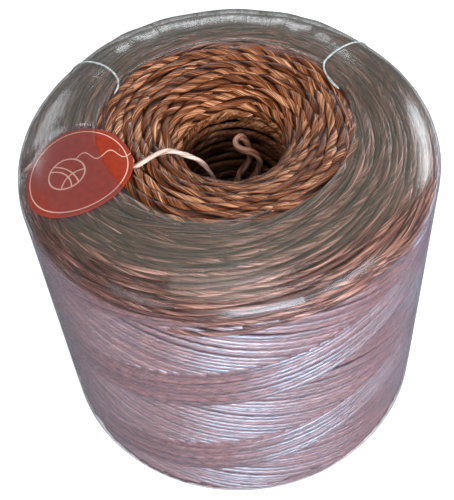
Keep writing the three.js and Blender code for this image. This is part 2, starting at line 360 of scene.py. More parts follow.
def makeFibreGroup(s):
    # Fine lines that run along each ply, and slower patches from strand to strand. The place in the noise
    # goes round with the ply and on along the strand, and a groove is a high power of the groove value.
    group = bpy.data.node_groups.new("twineFibres", "ShaderNodeTree")
    for label in ("Fibre scale", "Groove depth"):
        group.interface.new_socket(label, in_out="INPUT", socket_type="NodeSocketFloat")
    for label in ("Tone", "Height", "Roughness", "Depth"):
        group.interface.new_socket(label, in_out="OUTPUT", socket_type="NodeSocketFloat")
    entry, leave = group.nodes.new("NodeGroupInput"), group.nodes.new("NodeGroupOutput")
    ply, along, tint, groove = (numberOf(group, n) for n in ("ply", "along", "tint", "groove"))
    wrapped = times(group, ply, 2 * math.pi)
    ownShift = times(group, tint, s.strandShift)
    spread = addNode(group, "ShaderNodeCombineXYZ", {
        0: calc(group, "SINE", wrapped), 1: calc(group, "COSINE", wrapped),
        2: addTo(group, along, s.alongScale, ownShift)}).outputs[0]
    fibre = noiseOf(group, spread, entry.outputs[0], s.fibreDetail, s.fibreRoughness)
    slow = noiseOf(group, spread, s.slowScale, s.slowDetail)
    cut = times(group, calc(group, "POWER", groove, s.grooveSharpness), entry.outputs[1])
    tone = addTo(group, tint, s.tintShare, s.darken)
    tone = addTo(group, slow, s.slowShare, tone)
    tone = addTo(group, fibre, s.fibreShare, tone)
    # Painted shade: the tone is darkened in the groove between the plies
    tone = calc(group, "SUBTRACT", tone, times(group, cut, s.grooveDark))
    rise = calc(group, "SUBTRACT", fibre, times(group, cut, s.grooveFall))
    rough = addTo(group, cut, s.grooveRough, s.leastRough)
    rough = addTo(group, fibre, s.roughShare, rough)
    for place, value in enumerate((tone, rise, rough, calc(group, "MINIMUM", cut, 1.0))):
        group.links.new(value, leave.inputs[place])
    return group


fibreGroup = makeFibreGroup(fibreSetup)
shadeColour = fromSrgb(30, 13, 6)
fibreHeight = 0.0006


def makeTwine(name, s):
    # The sheen is long across a strand and short along it, as on a bundle of smooth threads. The grooves
    # count as metal, so that they mirror only in the dark colour of their painted shade.
    material, tree = newMaterial(name)
    fibres = addNode(tree, "ShaderNodeGroup", node_tree=fibreGroup)
    fibres.inputs[0].default_value = s.fibreScale
    fibres.inputs[1].default_value = s.groove
    colour = ramped(tree, fibres.outputs["Tone"], s.tones)
    # Painted shade: where the shade value falls, the colour goes to a dark brown
    colour = between(tree, numberOf(tree, "shade"), shadeColour, colour)
    rough = times(tree, fibres.outputs["Roughness"], s.polish)
    sideways = addNode(tree, "ShaderNodeAttribute", attribute_name="across").outputs["Vector"]
    endWith(tree, plainSkin(tree, {
        "Base Color": colour, "Roughness": rough, "Metallic": fibres.outputs["Depth"],
        "Normal": bumpOf(tree, fibres.outputs["Height"], s.bump, fibreHeight),
        "IOR": s.bending, "Specular IOR Level": s.gloss, "Specular Tint": (*s.sheen, 1),
        "Anisotropic": s.drawn, "Tangent": sideways}))
    return material


# Each kind of twine has its colours from groove to highest fibre, and what differs from a plain one.
# Drawn is how far its sheen is drawn out, polish is a share of its roughness, and bending is its IOR.
plainTwine = settings(
    fibreScale=4.5, groove=0.6, bump=0.6, gloss=0.2, drawn=0.5, polish=1.0, bending=1.5,
    sheen=(1.0, 1.0, 1.0))
bareTones = [
    (0.0, 26, 9, 2), (0.3, 66, 28, 9), (0.6, 122, 65, 31), (0.85, 214, 150, 108),
    (1.0, 246, 196, 160)]
bareTwine = makeTwine("bareTwine", settings(
    plainTwine, tones=bareTones, groove=0.85, bump=0.9, gloss=0.22, drawn=0.7, polish=0.6,
    sheen=(1.0, 0.80, 0.72)))
boreTwine = makeTwine("boreTwine", settings(
    plainTwine, tones=bareTones, groove=0.8, drawn=0.6, sheen=(1.0, 0.8, 0.7)))
shoulderTwine = makeTwine("shoulderTwine", settings(
    plainTwine, fibreScale=3.0, bump=0.5, gloss=0.7, drawn=0.75, polish=0.7, sheen=(1.0, 0.87, 0.86),
    tones=[(0.0, 20, 8, 5), (0.3, 50, 24, 17), (0.6, 92, 51, 39), (0.85, 168, 116, 98),
           (1.0, 212, 164, 148)]))
sideTwine = makeTwine("sideTwine", settings(
    plainTwine, fibreScale=2.6, groove=0.5, bump=0.35, gloss=1.0, drawn=0.85, bending=2.2,
    sheen=(0.56, 0.84, 1.0),
    tones=[(0.0, 42, 17, 12), (0.3, 98, 48, 39), (0.6, 138, 76, 64), (1.0, 194, 132, 122)]))
looseTwine = makeTwine("looseTwine", settings(
    plainTwine, fibreScale=4.0, gloss=1.0, polish=0.8,
    tones=[(0.0, 156, 104, 80), (0.4, 224, 182, 160), (0.75, 248, 224, 210), (1.0, 255, 246, 240)]))
innerTwine = makeTwine("innerTwine", settings(
    plainTwine, fibreScale=4.0, groove=0.7, gloss=0.7, polish=0.8, sheen=(1.0, 0.92, 0.88),
    tones=[(0.0, 112, 60, 40), (0.4, 182, 124, 102), (0.75, 222, 174, 154), (1.0, 240, 204, 188)]))
# The layer under the top turns is the same twine in darker tones: painted shade for the gaps between the
# turns
shadedDeepTwine = makeTwine("shadedDeepTwine", settings(
    plainTwine, fibreScale=5.0, groove=0.4,
    tones=[(0.0, 32, 14, 7), (0.5, 72, 37, 22), (1.0, 116, 68, 45)]))


# The loose ends lie where the solids have them: points in metres, from where each one leaves the roll
endUp = (0.25, -0.35, 0.9)
outerEndSetup = settings(
    width=0.0029, height=0.0027, sides=10, plyLength=0.030, lobe=0.12, taper=0.0015, steps=150,
    diameter=0.0029, boreShade=0.45)
outerEndRoute = [
    (-0.1186, -0.0064, 0.2137), (-0.1145, -0.0066, 0.2181), (-0.1080, -0.0080, 0.2217),
    (-0.1000, -0.0106, 0.2245), (-0.0910, -0.0138, 0.2263), (-0.0820, -0.0170, 0.2273),
    (-0.0730, -0.0202, 0.2278), (-0.0650, -0.0226, 0.2278), (-0.0585, -0.0239, 0.2271),
    (-0.0530, -0.0239, 0.2278), (-0.0472, -0.0226, 0.2303), (-0.0402, -0.0176, 0.2299),
    (-0.0328, -0.0126, 0.2266), (-0.0252, -0.0116, 0.2216), (-0.0186, -0.0118, 0.2174),
    (-0.0146, -0.0116, 0.2120), (-0.0114, -0.0112, 0.2044), (-0.0092, -0.0108, 0.1958),
    (-0.0084, -0.0106, 0.1864), (-0.0082, -0.0106, 0.1764)]
innerEndSetup = settings(
    width=0.0042, height=0.0038, sides=10, plyLength=0.026, lobe=0.10, taper=0.0015, steps=150,
    diameter=0.0042, boreShade=0.0)
innerEndRoute = [
    (0.0046, 0.0271, 0.1404), (0.0052, 0.0270, 0.1484), (0.0060, 0.0268, 0.1554),
    (0.0082, 0.0262, 0.1628), (0.0112, 0.0246, 0.1694), (0.0135, 0.0236, 0.1754),
    (0.0143, 0.0232, 0.1814), (0.0136, 0.0235, 0.1874), (0.0124, 0.0233, 0.1930),
    (0.0094, 0.0232, 0.1972), (0.0060, 0.0220, 0.1956), (0.0062, 0.0194, 0.1932),
    (0.0100, 0.0174, 0.1914), (0.0146, 0.0160, 0.1908), (0.0184, 0.0152, 0.1874),
    (0.0200, 0.0162, 0.1804), (0.0192, 0.0180, 0.1728), (0.0168, 0.0204, 0.1644),
    (0.0146, 0.0229, 0.1564), (0.0136, 0.0236, 0.1484)]


def smoothLine(route, steps):
    # A curve through all the points: each stretch is the usual cubic from its four nearest points
    route = np.array(route)
    route = np.concatenate([[2 * route[0] - route[1]], route, [2 * route[-1] - route[-2]]])
    spot = np.linspace(0, len(route) - 3 - 1e-9, steps)
    first = spot.astype(int)
    t = (spot - first)[:, None]
    a, b, c, d = (route[first + k] for k in range(4))
    square, cube = 2 * a - 5 * b + 4 * c - d, 3 * b - a - 3 * c + d
    line = 0.5 * (2 * b + (c - a) * t + square * t ** 2 + cube * t ** 3)
    run = np.concatenate([[0], np.cumsum(np.linalg.norm(np.diff(line, axis=0), axis=1))])
    even = np.linspace(0, run[-1], steps)
    return np.stack([np.interp(even, run, line[:, k]) for k in range(3)], -1), run[-1]


def makeEnd(name, node, material, route, s):
    # One strand along the smooth line through its route's points
    line, length = smoothLine(route, s.steps)
    out = np.broadcast_to(endUp, (1, s.steps, 3))
    points, quads, values = sweep(line[None], out, s.width, s.height, s)
    piece = addPiece(name, points, quads, values)
    finishPiece(piece, material, "twine_end", node)


makeEnd("outerEnd", "outer_end", looseTwine, outerEndRoute, outerEndSetup)
makeEnd("innerEnd", "inner_end", innerTwine, innerEndRoute, innerEndSetup)
pressSetup = settings(
    routePoints=10, steps=60, depth=0.0030, full=0.0022, none=0.0046, topNone=-0.030, topFull=-0.022)


def pressedBy(points):
    # How deep the turns are pressed in where the buried part of the outer end lies on them: all of the
    # depth near its line, none further off, and only on the top of the roll
    s = pressSetup
    line, _ = smoothLine(outerEndRoute[:s.routePoints], s.steps)
    near = np.full(points.shape[:-1], 1.0)
    for spot in line:
        near = np.minimum(near, np.hypot(points[..., 0] - spot[0], points[..., 1] - spot[1]))
    top = rollShape.top
    onTop = smooth(top + s.topNone, top + s.topFull, points[..., 2])
    return s.depth * smooth(s.none, s.full, near) * onTop


# What lies under the outermost turns: the roll's own section, sunk by a little less than a turn's
# thickness, with a shallow ridge for each turn of the layer below
woundCoreSetup = settings(
    depth=0.0030, ridge=0.0012, bandSink=0.0018, columns=192, ringPitch=0.0048, lead=3,
    sideBlend=0.010, topNone=-0.018, topFull=-0.008, floorGap=0.0008, alongScale=0.08, groove=0.5,
    darkBelow=-0.024, lightAbove=0.004,
    stretches=((section.boreFoot, -0.020, 40), (-0.019, sideReach, 130),
               (sideReach + 0.005, footReach, 30), (footReach + 0.004, ringReach, 8),
               (ringReach + 0.006, section.end, 12)))


def makeWoundCore(s):
    # The rows are closer together where the section bends: each stretch is from, to and its rows
    reach = np.concatenate([np.linspace(*stretch) for stretch in s.stretches])[:-1]
    azimuth = np.linspace(0, 2 * np.pi, s.columns, endpoint=False)
    reach, azimuth = np.meshgrid(reach, azimuth, indexing="ij")
    onSide = smooth(sideReach - s.sideBlend, sideReach + s.sideBlend, reach)
    onSide = onSide * (1 - smooth(footReach, ringReach, reach))
    spot = np.pi * (reach / s.ringPitch + s.lead * azimuth / np.pi)
    onTop = smooth(s.topNone, s.topFull, reach) * (1 - onSide)
    depth = s.depth + s.ridge * (1 - np.abs(np.sin(spot))) * onTop + s.bandSink * onSide
    points, _ = onRoll(reach, azimuth, depth)
    points[..., 2] = np.maximum(points[..., 2], s.floorGap)
    quads = gridQuads(reach.shape[0], reach.shape[1], closeRows=True, closeColumns=True)
    # Painted shade: the core's colour darkens down the bore, from just above the lip
    values = dict(along=azimuth * s.alongScale, ply=reach / s.ringPitch, tint=0 * reach,
                  groove=s.groove + 0 * reach, shade=smooth(s.darkBelow, s.lightAbove, reach))
    piece = addPiece("woundCore", points.reshape(-1, 3), quads, values)
    finishPiece(piece, shadedDeepTwine, "twine", "wound_roll")


makeWoundCore(woundCoreSetup)


# The top layer of funnel and shoulder is a set of spirals that run side by side, so that each turn shows
# for its whole length with a thin dark line beside it. They come in over the rim and end in the bore.
funnelSpirals = settings(
    starts=7, pitch=0.0055, low=-0.006, high=0.0525, stepLength=0.0020, width=0.0057, height=0.0042,
    sides=12, plyLength=0.0310, hand=-1, lobe=0.11, taper=0.010, sink=0.0024, dive=0.0030,
    jitter=0.004, seed=21)
shoulderSpirals = settings(
    starts=19, pitch=0.0034, low=0.044, high=0.118, stepLength=0.0032, width=0.0034, height=0.0030,
    sides=8, plyLength=0.060, hand=-1, lobe=0.06, taper=0.010, sink=0.0022, dive=0.0026,
    jitter=0.008, seed=22)
# Each wave here is its height and how many of it go round the roll
spiralWander = settings(
    wide=(0.0009, 3), wideSlant=60, narrow=(0.0005, 5), narrowSlant=-90, quick=(0.00025, 11),
    slow=(0.00025, 4.3), rise=(0.0004, 3.1), ripple=(0.0002, 9), endJitter=(-0.3, 1.0),
    tuckLength=0.022, thin=0.92, thick=1.08, widthWave=(0.07, 17), heightWave=(0.05, 13))


def makeSpirals(name, material, s):
    # Along each spiral the reach falls evenly as the azimuth grows. All of them wander together in two
    # slow waves, each in two quick ones of its own, and each dives under at both ends.
    w = spiralWander
    rng = np.random.default_rng(s.seed)
    number = np.arange(s.starts)
    perTurn = s.starts * s.pitch
    outermost = s.high + rng.uniform(-s.jitter, s.jitter, s.starts)
    innermost = s.low + rng.uniform(*w.endJitter, s.starts) * s.jitter
    meanRadius = np.interp((s.low + s.high) / 2, section.reach, section.radius)
    longest = (outermost - innermost).max() / perTurn * 2 * np.pi * meanRadius
    share = np.linspace(0, 1, int(longest / s.stepLength))[None, :]
    reach = outermost[:, None] + (innermost - outermost)[:, None] * share
    azimuth = 2 * np.pi * (number[:, None] / s.starts + (s.high - reach) / perTurn)
    sway = rng.uniform(0, 6.28, (s.starts, 4))
    shared = waves(azimuth, (*w.wide, w.wideSlant * reach), (*w.narrow, 1 + w.narrowSlant * reach))
    own = waves(azimuth, (*w.quick, sway[:, :1]), (*w.slow, sway[:, 1:2]))
    reach = reach + shared + own
    fromEnd = np.minimum(share, 1 - share) * longest
    depth = s.sink + s.dive * smooth(w.tuckLength, 0.0, fromEnd)
    depth = depth + waves(azimuth, (*w.rise, sway[:, 2:3]), (*w.ripple, sway[:, 3:]))
    points, out = onRoll(reach, azimuth, depth)
    points[..., 2] -= pressedBy(points)
    girth = rng.uniform(w.thin, w.thick, s.starts)[:, None]
    width = s.width * girth * (1 + waves(azimuth, (*w.widthWave, sway[:, 2:3])))
    height = s.height * girth * (1 + waves(azimuth, (*w.heightWave, sway[:, :1])))
    addStrands(name, material, points, out, width, height, s)


makeSpirals("funnelSpirals", bareTwine, funnelSpirals)
makeSpirals("shoulderSpirals", shoulderTwine, shoulderSpirals)


# Turns that cross the bore, funnel, shoulder and foot are arcs that lie nearly round the roll. They are
# spread evenly by the golden angle. Each drifts inward as it goes round, bends a little, and dives under
# its neighbours at both ends.
plainTurns = settings(
    stepLength=0.0030, driftSpread=0.03, sides=8, plyLength=0.018, lobe=0.12, crossShare=0.0)
boreTurns = settings(
    plainTurns, count=100, low=-0.2045, high=0.001, halfTurn=(70, 95), drift=-0.01, width=0.0052,
    height=0.0036, taper=0.006, sink=0.0016, dive=0.0028, seed=5)
funnelTurns = settings(
    plainTurns, count=18, low=0.004, high=0.048, halfTurn=(30, 55), stepLength=0.0020, drift=-0.11,
    width=0.0052, height=0.0040, sides=12, plyLength=0.0310, hand=-1, lobe=0.13, taper=0.014,
    sink=0.0019, dive=0.0042, seed=11)
shoulderTurns = settings(
    plainTurns, count=80, low=0.050, high=0.116, halfTurn=(30, 55), drift=-0.13, driftSpread=0.04,
    width=0.0038, height=0.0030, plyLength=0.060, hand=-1, lobe=0.06, taper=0.018, sink=0.0013,
    dive=0.0036, seed=12, crossShare=0.05)
ringTurns = settings(
    plainTurns, count=80, low=footReach - 0.004, high=ringEnd + 0.004, halfTurn=(26, 40),
    drift=-0.06, driftSpread=0.05, width=0.0056, height=0.0036, taper=0.010, sink=0.0018,
    dive=0.0030, seed=14)
turnWander = settings(
    goldenTurn=0.3819660, startSpread=0.12, crossing=-1.2, bendSpread=0.35, levels=0.0007,
    diveFrom=0.55, ripple=0.00025, rippleCount=9, rippleShift=0.00025, endGap=0.004,
    thin=0.82, thick=1.14, widthShare=0.08, widthLength=0.0061, heightShare=0.06, heightLength=0.0047)


def makeTurns(name, material, s):
    # Along each arc the reach is its middle plus a share and a share of the square of the way round
    w = turnWander
    rng = np.random.default_rng(s.seed)
    number = np.arange(s.count)
    middle = s.low + (s.high - s.low) * (number + 0.5) / s.count
    startAzimuth = np.modf(number * w.goldenTurn)[0] * 2 * np.pi
    startAzimuth = startAzimuth + rng.uniform(-w.startSpread, w.startSpread, s.count)
    halfTurn = np.radians(rng.uniform(*s.halfTurn, s.count))
    meanRadius = np.interp(middle, section.reach, section.radius)
    steps = int(np.ceil((2 * halfTurn * meanRadius).max() / s.stepLength)) + 1
    drift = s.drift + rng.normal(0, s.driftSpread, s.count)
    crossing = rng.random(s.count) < s.crossShare
    drift = np.where(crossing, drift * w.crossing, drift)
    bend = rng.normal(0, w.bendSpread, s.count)
    share = np.linspace(-1, 1, steps)[None, :]
    azimuth = startAzimuth[:, None] + share * halfTurn[:, None]
    arc = share * (halfTurn * meanRadius)[:, None]
    reach = middle[:, None] + drift[:, None] * arc + bend[:, None] * arc ** 2
    reach = np.clip(reach, section.boreFoot + w.endGap, section.end - w.endGap)
    level = rng.uniform(0, w.levels, s.count)[:, None]
    depth = s.sink + level + s.dive * smooth(w.diveFrom, 1.0, np.abs(share))
    depth = depth + w.ripple * np.sin(w.rippleCount * azimuth + middle[:, None] / w.rippleShift)
    points, out = onRoll(reach, azimuth, depth)
    points[..., 2] = np.maximum(points[..., 2], s.height * (1 + s.lobe) / 2) - pressedBy(points)
    girth = rng.uniform(w.thin, w.thick, s.count)[:, None]
    wave = np.sin(arc / w.widthLength + number[:, None])
    width = s.width * girth * (1 + w.widthShare * wave)
    wave = np.sin(arc / w.heightLength + 2 * number[:, None])
    height = s.height * girth * (1 + w.heightShare * wave)
    addStrands(name, material, points, out, width, height, s)


makeTurns("boreTurns", boreTwine, boreTurns)
makeTurns("funnelTurns", bareTwine, funnelTurns)
makeTurns("shoulderTurns", shoulderTwine, shoulderTurns)
makeTurns("ringTurns", shoulderTwine, ringTurns)


# Round the side the turns rise to the right in one layer and fall to the right in the next. The rising
# ones are helices that run beside each band's edge. The falling ones come out from under them, lie over
# the band below and end on its scalloped lower edge.
risingTurns = settings(
    perBand=10, lowPhase=0.60, highPhase=0.972, bandEdge=0.3, stepLength=0.0040, width=0.0040,
    height=0.0026, sides=6, plyLength=0.0120, lobe=0.08, taper=0.004, below=0.004, above=0.012,
    wander=0.0007, slow=(1, 2.1), quick=(0.7, 4.7), ripple=(0.0002, 7), rimDive=0.004,
    rimZone=(0.002, -0.012), footDive=0.0015, footZone=(-0.004, 0.006), seed=31)
fallingTurns = settings(
    spacing=0.0081, length=0.150, fall=0.2126, stepLength=0.0038, width=0.0040, height=0.0028,
    sides=6, plyLength=0.0200, lobe=0.08, taper=0.0016, tuck=0.0035, below=0.010, above=0.006,
    edgeSpread=0.0002, slopeSpread=0.012, levels=0.0003, sinkZone=(0.1, 1.0), tuckDive=0.0042,
    tuckZone=(0.0003, -0.0028), rimDive=0.0036, rimZone=(0.004, -0.020), restShare=0.6, seed=32)
sideLevels = settings(fallingTop=0.0010, fallingLow=0.0036, risingTop=0.0014, risingLow=0.0040)


def makeRisingTurns(s):
    # The azimuth grows evenly with the height; the further a turn is from its band's edge, the lower it
    # lies. It dives under at shoulder and foot.
    rng = np.random.default_rng(s.seed)
    p = rollShape
    starts = p.bandStarts
    phase = np.linspace(s.lowPhase, s.highPhase, s.perBand)
    offset = (np.arange(starts)[:, None] + phase[None, :]).ravel()
    lowest, highest = -s.below, sideTop + s.above
    turns = (highest - lowest) / (p.bandSpacing * starts)
    steps = int(turns * 2 * np.pi * p.radius / s.stepLength)
    height = np.linspace(lowest, highest, steps)[None, :]
    azimuth = 2 * np.pi * (height / p.bandSpacing - offset[:, None]) / starts
    sway = rng.uniform(0, 6.28, (offset.size, 3))
    wander = waves(azimuth, (*s.slow, sway[:, :1]), (*s.quick, sway[:, 1:2]))
    reach = sideReach + (sideTop - (height + s.wander * wander))
    inBand = (np.mod(offset, 1) + (np.mod(offset, 1) < s.bandEdge))[:, None]
    sunk = (inBand - s.lowPhase) / (s.highPhase - s.lowPhase)
    depth = sideLevels.risingTop + (sideLevels.risingLow - sideLevels.risingTop) * sunk
    depth = depth + waves(azimuth, (*s.ripple, sway[:, 2:]))
    depth = depth + s.rimDive * smooth(*s.rimZone, reach - sideReach)
    depth = depth + s.footDive * smooth(*s.footZone, reach - footReach)
    points, out = onRoll(reach, azimuth, depth)
    addStrands("risingTurns", sideTwine, points, out, s.width, s.height, s)


def makeFallingTurns(s):
    # Each turn ends on a band's lower edge. From there it goes back and up on a straight slope, and sinks
    # evenly under the band above; its very end is tucked in.
    rng = np.random.default_rng(s.seed)
    p = rollShape
    rise = p.bandStarts * p.bandSpacing / (2 * np.pi)
    low, high = -s.below, sideTop + s.above
    perStart = int((high - low) / rise * p.radius / s.spacing * math.hypot(1, rise / p.radius))
    edgeHeight = np.tile(np.linspace(low, high, perStart), p.bandStarts)
    start = np.repeat(np.arange(p.bandStarts), perStart)
    edgeHeight = edgeHeight + rng.normal(0, s.edgeSpread, edgeHeight.size)
    edgeAzimuth = 2 * np.pi * (edgeHeight / p.bandSpacing - start) / p.bandStarts
    steps = int((s.length + s.tuck) / s.stepLength) + 1
    back = np.linspace(-s.tuck, s.length, steps)[None, :]
    slope = math.atan(s.fall) + rng.normal(0, s.slopeSpread, edgeHeight.size)[:, None]
    azimuth = edgeAzimuth[:, None] - back * np.cos(slope) / p.radius
    height = edgeHeight[:, None] + back * np.sin(slope)
    reach = sideReach + (sideTop - height)
    sunk = smooth(*s.sinkZone, back / s.length)
    depth = sideLevels.fallingTop + (sideLevels.fallingLow - sideLevels.fallingTop) * sunk
    depth = depth + rng.uniform(0, s.levels, edgeHeight.size)[:, None]
    depth = depth + s.tuckDive * smooth(*s.tuckZone, back)
    depth = depth + s.rimDive * smooth(*s.rimZone, reach - sideReach)
    points, out = onRoll(np.minimum(reach, ringReach), azimuth, depth)
    points[..., 2] = np.maximum(points[..., 2], s.height * s.restShare)
    addStrands("fallingTurns", sideTwine, points, out, s.width, s.height, s)


makeRisingTurns(risingTurns)
makeFallingTurns(fallingTurns)


# The label is a round of paper, bent over the shoulder between twine and film. Its flat place is told
# from its middle, so that the drawing on it isn't stretched.
labelSetup = settings(
    radius=0.0314, middle=(-0.0848, -0.0238), thickness=0.0003, gap=0.0004, rings=26, columns=96,
    innermost=0.02, bendFrom=0.1190, bendLength=0.0058, droop=0.9)


def surfaceHeight(x, y, lift):
    # The height of the wound surface over a place, raised by the lift along the surface's own direction
    reach = np.linspace(0, sideReach, 400)
    points, _ = onRoll(reach, np.zeros(400), -lift)
    radius = -points[:, 1]
    order = np.argsort(radius)
    return np.interp(np.hypot(x, y), radius[order], points[order, 2])


def makeLabel(s):
    share = np.linspace(s.innermost, 1, s.rings)[:, None]
    turn = np.linspace(0, 2 * np.pi, s.columns, endpoint=False)[None, :]
    flatX, flatY = s.radius * share * np.cos(turn), s.radius * share * np.sin(turn)
    x, y = s.middle[0] + flatX, s.middle[1] + flatY
    # Where the disc would stick out past the shoulder it bends down the side instead
    distance = np.hypot(x, y)
    over = np.maximum(distance - s.bendFrom, 0)
    kept = distance - over + s.bendLength * (1 - np.exp(-over / s.bendLength))
    x, y = x * kept / distance, y * kept / distance
    top = surfaceHeight(x, y, s.gap + s.thickness) - s.droop * over
    low = surfaceHeight(x, y, s.gap) - s.droop * over
    upper, lower = np.stack([x, y, top], -1), np.stack([x, y, low], -1)
    rows = np.concatenate([upper, lower[::-1]])
    flat = np.stack([flatX, flatY], -1)
    flat = np.concatenate([flat, flat[::-1]]).reshape(-1, 2)
    quads = gridQuads(2 * s.rings, s.columns, closeRows=True, closeColumns=True)
    piece = addPiece("roundLabel", rows.reshape(-1, 3), quads, flat=flat)
    finishPiece(piece, labelPaper(labelPrint), "label", "round_label")


# The print on the label: a ball with three bows across it, its wavy tail and a thin ring. A circle is
# its middle, to the right and up from the label's own, and its radius.
labelPrint = settings(
    ball=(-0.006, -0.002, 0.0105), ballLine=0.00055, bowLine=0.0005, ringLine=0.0004,
    bows=((-0.017, -0.012, 0.014), (-0.020, -0.016, 0.022), (0.004, -0.014, 0.013)),
    ring=(0.0, 0.0, 0.0285), waves=420.0, waveHeight=0.0028, tailHeight=0.0085, tailFrom=-0.004,
    soft=0.55, ink=(236, 190, 168), grainScale=260.0, grainDetail=3.0,
    card=[(0.3, 150, 38, 5), (0.7, 168, 51, 9)], grainBump=0.15, grainHeight=0.0002,
    roughness=0.5, gloss=0.12)


def labelPaper(s):
    # Each line is the set of places at one distance from a circle or a wave: 1 on it and 0 off it, with
    # a soft edge
    material, tree = newMaterial("labelPaper")
    place = addNode(tree, "ShaderNodeUVMap", uv_map="flatPlace").outputs[0]
    split = addNode(tree, "ShaderNodeSeparateXYZ", {0: place})
    x, y = split.outputs[0], split.outputs[1]

    def circle(middleX, middleY, radius):
        dx, dy = calc(tree, "SUBTRACT", x, middleX), calc(tree, "SUBTRACT", y, middleY)
        square = calc(tree, "ADD", times(tree, dx, dx), times(tree, dy, dy))
        return calc(tree, "SUBTRACT", calc(tree, "SQRT", square), radius)

    def stroke(distance, width):
        return rangeOf(tree, calc(tree, "ABSOLUTE", distance), width, width * s.soft)

    ball = circle(*s.ball)
    inside = calc(tree, "LESS_THAN", ball, 0.0)
    line = stroke(ball, s.ballLine)
    for bow in s.bows:
        bow = times(tree, stroke(circle(*bow), s.bowLine), inside)
        line = calc(tree, "MAXIMUM", line, bow)
    wave = times(tree, calc(tree, "SINE", times(tree, x, s.waves)), s.waveHeight)
    fromWave = calc(tree, "SUBTRACT", calc(tree, "SUBTRACT", y, wave), s.tailHeight)
    tail = times(tree, stroke(fromWave, s.bowLine), calc(tree, "SUBTRACT", 1.0, inside))
    tail = times(tree, tail, calc(tree, "GREATER_THAN", x, s.tailFrom))
    line = calc(tree, "MAXIMUM", line, tail)
    line = calc(tree, "MAXIMUM", line, stroke(circle(*s.ring), s.ringLine))
    grain = noiseOf(tree, place, s.grainScale, s.grainDetail)
    colour = between(tree, line, ramped(tree, grain, s.card), fromSrgb(*s.ink))
    endWith(tree, plainSkin(tree, {
        "Base Color": colour, "Roughness": s.roughness, "Specular IOR Level": s.gloss,
        "Normal": bumpOf(tree, grain, s.grainBump, s.grainHeight)}))
    return material


makeLabel(labelSetup)


# The shrink film is one closed thin skin over shoulder, side and foot. It follows the turns softly where
# it is tight, rides over the label, and stands off with radial folds at the back between the two seams.
filmSetup = settings(
    gap=0.0006, thickness=0.00025, columns=384, rows=96, footTuck=0.024, backStart=128, backEnd=150,
    backLift=0.0024, foldDepth=0.0003, foldCount=23, foldSway=2, swayCount=5, labelLift=0.0007,
    labelSlope=0.006, topEnd=(0.002, 0.020), rimWave=0.0007,
    rimWaves=((1, 3, 1), (0.5, 7, 0), (0.3, 17, 2)),
    flap=0.0028, flapStart=(103, 112), flapEnd=(117, 125), looseFrom=120, looseTo=150, tight=0.15,
    tightRim=(0.004, 0.020), edgeMirror=0.25, edgeZone=(0.0005, 0.004))


def filmLift(reach, azimuth, s):
    # How far the film stands off: at the back half a wave from its opening to the side, with fine waves
    # round the roll on it, and over the label at least the label's thickness
    degrees = np.degrees(np.abs(np.arctan2(np.sin(azimuth), np.cos(azimuth))))
    share = np.clip((reach - openingReach) / (sideReach - openingReach), 0, 1)
    behind = smooth(s.backStart, s.backEnd, degrees)
    swell = np.sin(np.pi * share)
    folds = np.sin(s.foldCount * azimuth + s.foldSway * np.sin(s.swayCount * azimuth)) * swell
    lift = s.backLift * (behind * swell) + s.foldDepth * folds * behind
    points, _ = onRoll(reach, azimuth, 0)
    middle, radius = labelSetup.middle, labelSetup.radius
    away = np.hypot(points[..., 0] - middle[0], points[..., 1] - middle[1])
    onTop = 1 - smooth(*s.topEnd, reach - sideReach)
    overLabel = (1 - smooth(radius, radius + s.labelSlope, away)) * onTop
    return np.maximum(lift, s.labelLift * overLabel), overLabel


def filmRim(azimuth, s):
    # How far in the film reaches: a gentle wave, a flap that reaches further by the right-hand seam
    degrees = np.degrees(np.arctan2(np.sin(azimuth), np.cos(azimuth)))
    flap = s.flap * smooth(*s.flapStart, degrees) * (1 - smooth(*s.flapEnd, degrees))
    return openingReach + s.rimWave * waves(azimuth, *s.rimWaves) - flap


def makeFilm(s):
    share = np.linspace(0, 1, s.rows)[:, None]
    azimuth = np.linspace(0, 2 * np.pi, s.columns, endpoint=False)[None, :] + 0 * share
    rim = filmRim(azimuth[:1], s)
    filmEnd = footReach + s.footTuck
    reach = rim + (filmEnd - rim) * share
    lift, overLabel = filmLift(reach, azimuth, s)
    lift = lift + s.gap
    outer, _ = onRoll(reach, azimuth, -lift - s.thickness)
    inner, _ = onRoll(reach, azimuth, -lift)
    points = np.concatenate([outer, inner[::-1]])
    quads = gridQuads(2 * s.rows, s.columns, closeRows=True, closeColumns=True)
    around, bothReach, bothOver = (np.concatenate([a, a[::-1]]) for a in (azimuth, reach, overLabel))
    degrees = np.degrees(np.abs(np.arctan2(np.sin(around), np.cos(around))))
    loosened = s.tight + (1 - s.tight) * smooth(s.looseFrom, s.looseTo, degrees)
    loosened = loosened * smooth(*s.tightRim, bothReach - openingReach)
    awayFromEdge = s.edgeMirror + (1 - s.edgeMirror) * smooth(*s.edgeZone, bothReach - rim)
    values = dict(reach=bothReach, sideways=np.sin(around), frontways=np.cos(around), loosened=loosened,
                  overLabel=bothOver, awayFromEdge=awayFromEdge)
    piece = addPiece("shrinkFilm", points.reshape(-1, 3), quads, values)
    finishPiece(piece, clearFilm(filmLook), "film", "film_sleeve")


